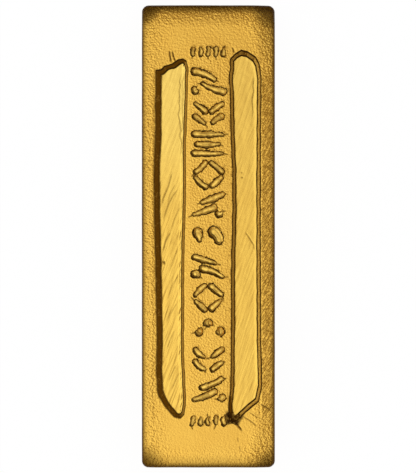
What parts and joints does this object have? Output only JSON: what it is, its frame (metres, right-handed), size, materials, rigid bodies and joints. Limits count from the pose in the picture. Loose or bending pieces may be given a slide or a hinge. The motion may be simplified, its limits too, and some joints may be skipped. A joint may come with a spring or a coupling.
{
  "type": "metal ingot",
  "caption": "Small cast gold bar with leaning mould sides and two long hand-cut troughs and a band of short chisel marks in its top face, lying flat on its underside.",
  "frame": {"origin": "middle of the underside, at the lowest point of the bar", "axes": "+Z out of the marked top face, +Y along the bar towards its head, +X towards its right side"},
  "size_m": [0.0342, 0.119, 0.012],
  "materials": {
    "cast_gold": "as cast, satin with a fine grain"
  },
  "bodies": {
    "root": {"ingot": "cast_gold"}
  },
  "joints": []
}
